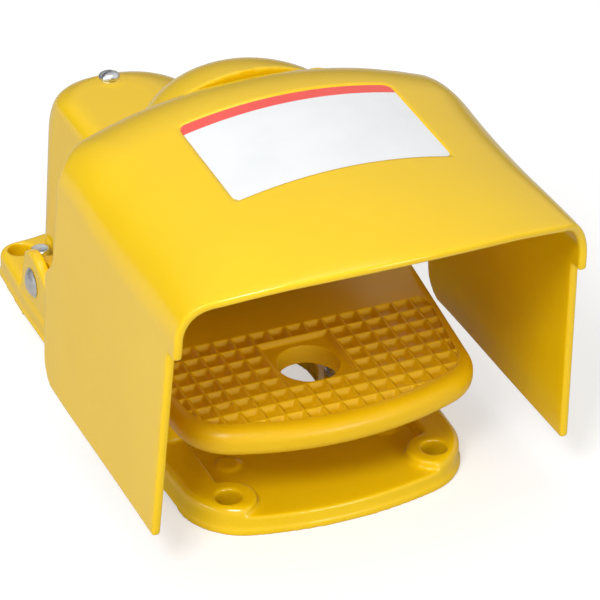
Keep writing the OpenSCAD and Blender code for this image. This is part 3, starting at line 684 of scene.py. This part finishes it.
def pedal():
    """Treadle with rolled rim, pyramid tread round the drain field, arms and tongue."""
    px, py, crest = 7.35, 7.6, 0.62
    rings = [(5 - 11.5 - 5 * math.sin(math.radians(a)), 5 * math.cos(math.radians(a)) - 5)
             for a in range(90, -1, -10)]
    rings += [(5 * math.sin(math.radians(a)) - 5, 5 * math.cos(math.radians(a)) - 5)
              for a in range(0, 91, 10)]
    obj = new_object("pedal_casting", loft(
        [[(x, y, z) for x, y in pedal_outline(o)] for z, o in rings]))
    cut(obj, prism(pedal_outline(-9), -12.5, -10))
    xs = [i * px for i in range(-9, 10)]
    ys = [HOLE_Y + (i + 0.1) * py for i in range(-6, 5)]
    h = crest / 2
    tools = []
    for x in xs[:-1]:
        for y in ys[:-1]:
            if -2.1 * px < x < 1.9 * px and ys[4] - 0.1 < y < ys[7] + 0.1:
                continue
            tools.append(pocket(x + h, x + px - h, y + h, y + py - h))
    tools.append(pocket(-2 * px + h, 2 * px - h, ys[4] + h, ys[8] - h))
    pockets = new_object("pockets", joined(tools))
    carve(pockets, prism(tread_outline(), -5, 0.3), "INTERSECT")
    cut(obj, taken(pockets))
    place = (Matrix.Translation((0, HOLE_Y, TREAD_Z)) @ Matrix.Rotation(TILT, 4, "X")
             @ Matrix.Translation((0, -HOLE_Y, 0)))
    obj.data.transform(place)
    arm = [(52, plate_top(52) - 10.5), (152, 13.5), (158, 11.6), (160, 29.3),
           (88, plate_top(82) - 2), (52, plate_top(52) - 3)]
    for s in pair(profile(arm, ARM_IN, ARM_OUT)):
        add(obj, s)
    for s in pair(shifted(along_x(rod((0, 0), 9, ARM_IN, ARM_OUT)), 0, PIVOT[0], PIVOT[1])):
        add(obj, s)
    add(obj, block((-9, 72, 40), (9, 133, 47)))
    for s in (-1, 1):
        add(obj, rod((s * SPRING[0], SPRING[1]), 4.3, plate_top(SPRING[1]) - 12,
                     plate_top(SPRING[1]) - 9))
    cut(obj, moved(rod((0, HOLE_Y), 11.7, -30, 30, 96), place))
    cut(obj, *pair(shifted(along_x(rod((0, 0), 5.5, 49, 58)), 0, PIVOT[0], PIVOT[1])))
    cut(obj, rod((0, PLUNGER_Y), M5_HOLE, 38, 50))
    soften(obj, 0.38, 1, 0.4)
    return finish_piece(obj, "pedal", TREAD, ["pedal"])


# ---- housing -------------------------------------------------------------------------

def edge_inset(z, r):
    """How far a wall has turned in at z, where its top edge has radius r."""
    d = z - (HOUSE_H - r)
    return 0.0 if d <= 0 else r - math.sqrt(max(0.0, r * r - d * d))


def lobe_ring(z, o, at=None):
    """Section of the rear body at z, inset by o, drawn at another height if at is given."""
    at = z if at is None else at
    d = 0.05 * (z - FLANGE_Z) + o
    x0 = HOUSE_X - HOUSE_W / 2 + d + edge_inset(z, 7)
    x1 = HOUSE_X + HOUSE_W / 2 - d - edge_inset(z, 30)
    y0 = HOUSE_FRONT - 18 * smooth((z - 58) / 8) + o
    y1 = HOUSE_REAR - d - edge_inset(z, 21.5)
    r = min(21 - o, (x1 - x0) / 2.1)
    f = min(6, r / 2)
    pts = (arc((x1 - f, y0 + f), f, -90, 0, 5) + arc((x1 - r, y1 - r), r, 0, 90, 20)
           + arc((x0 + r, y1 - r), r, 90, 180, 20) + arc((x0 + f, y0 + f), f, 180, 270, 5))
    return [(x, y, at) for x, y in pts]


def lobe_levels():
    """Heights of the rear body's sections, close together where the top edges turn in."""
    z = {FLANGE_Z, 25, 40, 52, 56, 58, 59.5, 61, 62.5, 64, 65.5, 67}
    for r in (7, 21.5, 30):
        z |= {round(HOUSE_H - r + r * math.sin(math.radians(a)), 2) for a in range(10, 91, 5)}
    out = []
    for v in sorted(z):
        if not out or v - out[-1] > 0.12:
            out.append(v)
    out[-1] = HOUSE_H
    return out


def turret_ring(z, k, o=0.0, n=96):
    """Section of the turret: its ellipse times k, inset by o."""
    return [((TURRET_HALF[0] * k - o) * math.sin(2 * math.pi * i / n),
             TURRET_Y - (TURRET_HALF[1] * k - o) * math.cos(2 * math.pi * i / n), z)
            for i in range(n)]


def earth_place():
    return Matrix.Translation(EARTH) @ Matrix.Rotation(EARTH_TILT, 4, "X")


def housing():
    """Housing casting: rear body, turret, flange, plunger pocket, conduit hub, holes."""
    obj = new_object("housing_casting", loft([lobe_ring(z, 0) for z in lobe_levels()]))
    rise = TURRET_TOP - TURRET_SPRING
    add(obj, loft([turret_ring(TURRET_LOW, 1)] + [
        turret_ring(TURRET_SPRING + rise * math.sin(math.radians(a)), math.cos(math.radians(a)))
        for a in list(range(0, 86, 4)) + [86.5, 88.5]]))
    cut(obj, block((-60, 0, SEAT_Z), (60, RIM_Y + 0.3, 190)), block((-60, -60, 0), (60, 44, 200)))
    # the turret starts level with the roof's rim
    lid = [[(x, RIM_Y - 1, roof_z(x, RIM_Y) - 0.5) for x in range(-50, 51, 5)]
           + [(x, RIM_Y - 1, 190) for x in range(50, -51, -5)],
           [(x, RIM_Y + 12, roof_z(x, RIM_Y) + 1.2) for x in range(-50, 51, 5)]
           + [(x, RIM_Y + 12, 190) for x in range(50, -51, -5)]]
    cut(obj, loft(lid))
    cut(obj, loft([lobe_ring(z, HOUSE_T) for z in (FLANGE_Z - 1, 40, 56)]
                  + [lobe_ring(z + 4, HOUSE_T, z) for z in (56.5, 62, 68, 74, 80, 86)]))
    k = math.sqrt(1 - ((SEAT_Z - HOUSE_T - TURRET_SPRING) / rise) ** 2)
    front = 44 + HOUSE_T
    core = [(x, y) for x, y, z in turret_ring(0, k, HOUSE_T) if y > front + 0.01]
    cut(obj, prism(core, 70, SEAT_Z - HOUSE_T))
    flange = new_object("flange", prism([(x, y) for x, y, z in lobe_ring(FLANGE_Z, 0)],
                                        FLANGE_Z, FLANGE_Z + FLANGE_T))
    for x, y in SCREWS:
        add(flange, rod((x, y), 6, FLANGE_Z, FLANGE_Z + FLANGE_T))
    for s in (-1, 1):
        x = HOUSE_X + s * 30.5
        add(flange, block((x - 6, 108.2, FLANGE_Z), (x + 6, 120.2, FLANGE_Z + FLANGE_T)))
    cut(flange, prism([(x, y) for x, y, z in lobe_ring(FLANGE_Z, HOUSE_T)], 0, 40))
    add(obj, taken(flange), block((-18, 115, 29), (18, 143, 58)))
    entry = (Matrix.Translation((HOUSE_X, HOUSE_REAR, CONDUIT_Z))
             @ Matrix.Rotation(math.pi / 2, 4, "X"))
    hub = moved(rod((0, 0), 15.5, -8, 7, 96), entry)
    add(obj, hub, moved(rod((0, 0), 6.5, -7, 0), earth_place()))
    cut(obj, block((-14, 94, 33), (14, 139, 54)), rod((0, PLUNGER_Y), 4, 27, 35),
        rod((0, 117.6), 1.55, 53, 60))
    cut(obj, moved(rod((0, 0), 12.4, -12, 30, 96), entry))
    for x, y in SCREWS:
        cut(obj, rod((x, y), M5_CLEAR, 0, 36), rod((x, y), 5.1, FLANGE_Z + FLANGE_T, 24.8))
    cut(obj, *[rod(p, M5_CLEAR, SEAT_Z - 6, SEAT_Z + 4) for p in BOSSES])
    cut(obj, moved(rod((0, 0), M5_HOLE, -20, 10), earth_place()),
        moved(rod((0, 0), 5.6, -40, -7), earth_place()),
        moved(rod((0, 0), 5.5, 0, 20), earth_place()))
    soften(obj, 0.8, 8, 0.45)
    return finish_piece(obj, "frame", YELLOW, ["switch_housing"])


# ---- screws, pins and small parts ----------------------------------------------------

def hexagon(across, turn):
    """Hexagon by its width across flats, turned by an angle in radians."""
    r = across / 2 / math.cos(math.pi / 6)
    return [(r * math.cos(math.pi * i / 3 + turn), r * math.sin(math.pi * i / 3 + turn))
            for i in range(6)]


def flange_screw(x, y, turn):
    """Hexagon flange screw, seated on the housing's flange."""
    z = FLANGE_Z + FLANGE_T
    head = new_object("screw", lathe(
        [(4.45, 0), (4.45, 0.5), (4.2, 0.9), (3.9, 1.1), (3.9, 1.15)]))
    hexa = new_object("hexa", prism(hexagon(7, turn), 0.4, 4.3))
    dome = lathe([(5.6, 0.2), (5.6, 2.9), (3.4, 4.25), (3.2, 4.3), (2.4, 4.1), (2.2, 4.0)])
    carve(hexa, dome, "INTERSECT")
    add(head, taken(hexa), rod((0, 0), 2.5, 3.5 - z, 0.3))
    head.data.transform(Matrix.Translation((x, y, z)))
    return head


def screws():
    """The four flange screws and the slotted earth screw."""
    obj = new_object("housing_flange_screws", joined([
        taken(flange_screw(x, y, t)) for (x, y), t in zip(SCREWS, (0.2, 0.9, 0.35, 0.6))]))
    finish_piece(obj, "frame", ZINC, ["housing_screws"], 35)
    head = new_object("earth_terminal_screw", lathe(
        [(3.9, 0), (4.2, 0.25), (4.25, 1.2), (4.1, 1.9), (3.6, 2.5), (2.7, 2.95), (1.6, 3.15),
         (0.2, 3.2)]))
    cut(head, block((-6, -0.6, 1.7), (6, 0.6, 6)))
    add(head, rod((0, 0), 2.5, -16, 0.4))
    sunk = Matrix.Translation((0, 1.5, -0.9))
    head.data.transform(sunk @ earth_place()
                        @ Matrix.Rotation(math.radians(28), 4, "Z"))
    finish_piece(head, "frame", ZINC, ["earth_screw"], 35)


def pins():
    """Domed pivot pins with a chamfered inner end and a groove for the clip."""
    inner = ARM_IN - 2.2
    clip = ARM_IN - 0.3 - 0.8
    dome_r, dome_h = 9, 2.6
    rows = [(3.4, inner), (PIN_R, inner + 0.5), (PIN_R, clip - 0.06), (3.42, clip - 0.05),
            (3.42, clip + 0.85), (PIN_R, clip + 0.86), (PIN_R, LUG_OUT - 0.05), (5.7, LUG_OUT),
            (6.15, LUG_OUT + 0.25)]
    for r, z in arc((0, LUG_OUT + dome_h - dome_r), dome_r, 90 - 42, 90 - 2, 10):
        rows.append((r, z))
    rows.append((0.2, LUG_OUT + dome_h))
    one = shifted(along_x(lathe(rows)), 0, PIVOT[0], PIVOT[1])
    obj = new_object("pivot_pin_set", joined(pair(one)))
    finish_piece(obj, "frame", ZINC, ["pivot_pins"], 35)


def springs():
    """Round wire, closed end turns, each spring with a mesh of its own; the real springs shorten as
    the pedal goes down.
    """
    low = FLOOR_T + WIRE_R
    rise = plate_top(SPRING[1]) - 10 - WIRE_R - 0.3 - low
    turns, around, closed, per_turn = 7, 10, 1.95, 28
    steps = per_turn * turns
    for name, s in (("return_spring_left", -1), ("return_spring_right", 1)):
        verts, faces = [], []
        for i in range(steps + 1):
            t = i / per_turn
            if t < 1:
                z = closed * t
            elif t > turns - 1:
                z = rise - closed * (turns - t)
            else:
                z = closed + (rise - 2 * closed) * (t - 1) / (turns - 2)
            a = 2 * math.pi * t
            for k in range(around):
                b = 2 * math.pi * k / around
                r = SPRING_R + WIRE_R * math.cos(b)
                verts.append((s * SPRING[0] + r * math.cos(a), SPRING[1] + r * math.sin(a),
                              low + z + WIRE_R * math.sin(b)))
        for i in range(steps):
            for k in range(around):
                j = (k + 1) % around
                faces.append((i * around + k, i * around + j,
                              (i + 1) * around + j, (i + 1) * around + k))
        faces.append(tuple(range(around)))
        faces.append(tuple(steps * around + k for k in reversed(range(around))))
        obj = new_object(name, (verts, faces))
        finish_piece(obj, "frame", STEEL, ["return_springs"] if s < 0 else (), 60)
        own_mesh(obj)


def boot():
    """Rubber bellows round the plunger, with a mesh of its own; the real boot flattens as the pedal
    goes down.
    """
    lo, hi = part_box("plunger_boot")
    z0, h = lo.z * 1000, (hi.z - lo.z) * 1000
    rows = [(2.9, 0), (6.0, 0), (6.5, 0.12 * h), (6.75, 0.3 * h), (6.75, 0.5 * h),
            (6.3, 0.72 * h), (5.4, 0.9 * h), (4.8, h), (2.9, h)]
    obj = new_object("plunger_bellows", shifted(tube(rows, 56), 0, PLUNGER_Y, z0))
    finish_piece(obj, "frame", RUBBER, ["plunger_boot"], 50)
    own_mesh(obj)


def conduit():
    """Threaded liner of the conduit entry."""
    rows = [(12.35, 0), (12.35, 15), (10.5, 15)]
    z = 14.4
    while z > 0.9:
        rows += [(10.45, z), (11.1, z - 0.35), (11.1, z - 0.4), (10.45, z - 0.75)]
        z -= 1.1
    rows.append((10.9, 0))
    obj = new_object("conduit_liner", moved(
        tube(list(reversed(rows)), 72), Matrix.Translation((HOUSE_X, HOUSE_REAR + 8, CONDUIT_Z))
        @ Matrix.Rotation(math.pi / 2, 4, "X")))
    finish_piece(obj, "frame", ZINC, ["conduit_bushing"], 30)


def kept_nodes():
    """CAD nodes whose own shape shows; they only get their finish."""
    finish = {
        ZINC: ["shield_screws", "earth_nut", "pin_clips", "adjusting_screw", "lock_nut", "plunger",
               "switch_bracket", "switch_screws", "bracket_screws"],
        BRASS: ["plunger_guide", "switch_terminals"],
        BRONZE: ["pivot_bushes"],
        RUBBER: ["housing_gasket", "down_stops", "up_stop"],
        CASE: ["micro_switch"],
        RED: ["switch_button"],
    }
    for material, names in finish.items():
        for name in names:
            nodes[name].data.materials.clear()
            nodes[name].data.materials.append(material)


# ---- stage ---------------------------------------------------------------------------

SKY, GLOSS_SKY = 0.45, 0.9             # the sky as light, and in reflections
FLOOR_LIFT = 0.52                      # added to the floor where the camera sees it
FLOOR_BRIGHT, FLOOR_DIM = 0.6, 0.85    # metres: reflections see the floor dim beyond


def floor():
    """A sheet of white paper. Reflections see it bright near the object and dim far off."""
    mesh = bpy.data.meshes.new("floor")
    mesh.from_pydata([(-9, -9, 0), (9, -9, 0), (9, 9, 0), (-9, 9, 0)], [], [(0, 1, 2, 3)])
    obj = bpy.data.objects.new("floor", mesh)
    scene.collection.objects.link(obj)
    m = Nodes("floor_paper", 0.9)
    m.colour(3.0, (0.55, 0.55, 0.55), (0.58, 0.58, 0.58))
    m.shader.inputs["Specular IOR Level"].default_value = 0.0
    path = m.tree.nodes.new("ShaderNodeLightPath")
    lift = m.node("ShaderNodeMath")
    lift.operation = "MULTIPLY"
    lift.inputs[1].default_value = FLOOR_LIFT
    m.link(path.outputs["Is Camera Ray"], lift.inputs[0])
    m.shader.inputs["Emission Color"].default_value = (1, 1, 1, 1)
    m.link(lift.outputs[0], m.shader.inputs["Emission Strength"])
    reach = m.node("ShaderNodeVectorMath")
    reach.operation = "DISTANCE"
    reach.inputs[1].default_value = (0, 0.07, 0)
    m.link(m.place, reach.inputs[0])
    far = m.node("ShaderNodeMapRange")
    far.inputs["From Min"].default_value = FLOOR_BRIGHT
    far.inputs["From Max"].default_value = FLOOR_DIM
    m.link(reach.outputs["Value"], far.inputs["Value"])
    dim = m.node("ShaderNodeMath")
    dim.operation = "MULTIPLY"
    m.link(far.outputs["Result"], dim.inputs[0])
    m.link(path.outputs["Is Glossy Ray"], dim.inputs[1])
    grey = m.node("ShaderNodeEmission")
    grey.inputs["Color"].default_value = (0.16, 0.16, 0.16, 1)
    mix = m.node("ShaderNodeMixShader")
    m.link(dim.outputs[0], mix.inputs["Fac"])
    m.link(m.shader.outputs[0], mix.inputs[1])
    m.link(grey.outputs[0], mix.inputs[2])
    m.link(mix.outputs[0], m.tree.nodes["Material Output"].inputs["Surface"])
    mesh.materials.append(m.material)


def studio():
    """White behind the object; bright above and in front, dim behind."""
    world = bpy.data.worlds.new("studio")
    scene.world = world
    world.use_nodes = True
    tree = world.node_tree
    tree.nodes.clear()

    def node(kind):
        return tree.nodes.new(kind)

    coord, facing, spread, ramp = (node("ShaderNodeTexCoord"), node("ShaderNodeVectorMath"),
                                   node("ShaderNodeMath"), node("ShaderNodeValToRGB"))
    facing.operation = "DOT_PRODUCT"
    facing.inputs[1].default_value = (0.15, -0.6, 0.78)
    tree.links.new(coord.outputs["Generated"], facing.inputs[0])
    spread.operation = "MULTIPLY_ADD"
    spread.inputs[1].default_value = 0.5
    spread.inputs[2].default_value = 0.5
    tree.links.new(facing.outputs["Value"], spread.inputs[0])
    tree.links.new(spread.outputs[0], ramp.inputs["Fac"])
    stops = [(0.0, 0.15), (0.25, 0.2), (0.42, 0.6), (0.5, 0.7), (0.75, 1.0)]
    while len(ramp.color_ramp.elements) < len(stops):
        ramp.color_ramp.elements.new(0.5)
    for e, (pos, v) in zip(ramp.color_ramp.elements, stops):
        e.position = pos
        e.color = (v, v, v, 1)
    path, gloss = node("ShaderNodeLightPath"), node("ShaderNodeMath")
    gloss.operation = "MULTIPLY_ADD"
    gloss.inputs[1].default_value = GLOSS_SKY - SKY
    gloss.inputs[2].default_value = SKY
    tree.links.new(path.outputs["Is Glossy Ray"], gloss.inputs[0])
    sky, seen, mix, out = (node("ShaderNodeBackground"), node("ShaderNodeBackground"),
                           node("ShaderNodeMixShader"), node("ShaderNodeOutputWorld"))
    tree.links.new(ramp.outputs["Color"], sky.inputs["Color"])
    tree.links.new(gloss.outputs[0], sky.inputs["Strength"])
    seen.inputs["Color"].default_value = (1, 1, 1, 1)
    tree.links.new(path.outputs["Is Camera Ray"], mix.inputs["Fac"])
    tree.links.new(sky.outputs[0], mix.inputs[1])
    tree.links.new(seen.outputs[0], mix.inputs[2])
    tree.links.new(mix.outputs[0], out.inputs["Surface"])


def lamp(name, spot, aim, size, watts):
    """Square soft light at a spot, aimed at a point."""
    light = bpy.data.lights.new(name, "AREA")
    light.shape = "SQUARE"
    light.size = size
    light.energy = watts
    obj = bpy.data.objects.new(name, light)
    scene.collection.objects.link(obj)
    obj.location = spot
    obj.rotation_euler = (Vector(aim) - Vector(spot)).to_track_quat("-Z", "Y").to_euler()


def camera():
    """The photograph's viewpoint, from a camera fitted to the object's known edges."""
    data = bpy.data.cameras.new("camera")
    data.lens = 210
    data.sensor_width = 36
    data.clip_start = 0.01
    obj = bpy.data.objects.new("camera", data)
    scene.collection.objects.link(obj)
    obj.location = (-0.435683, -0.9839, 0.733153)
    obj.rotation_euler = (math.radians(90 - 31.054), 0, math.radians(-23.248))
    scene.camera = obj


def main():
    camera()
    shield()
    label()
    base_plate()
    pedal()
    housing()
    screws()
    pins()
    springs()
    boot()
    conduit()
    kept_nodes()
    floor()
    studio()
    lamp("top", (0, 0.1, 1.6), (0, 0.03, 0.05), 0.9, 4)
    lamp("key", (-1.05, -1.1, 1.6), (0, 0.0, 0.05), 0.6, 26)
    lamp("front", (0.45, -1.6, 0.38), (0, 0.0, 0.06), 0.5, 7)
    lamp("left", (-1.5, -0.2, 0.7), (0, 0.05, 0.06), 0.8, 6)
    scene.view_settings.view_transform = "Standard"


main()
bpy.context.view_layer.update()
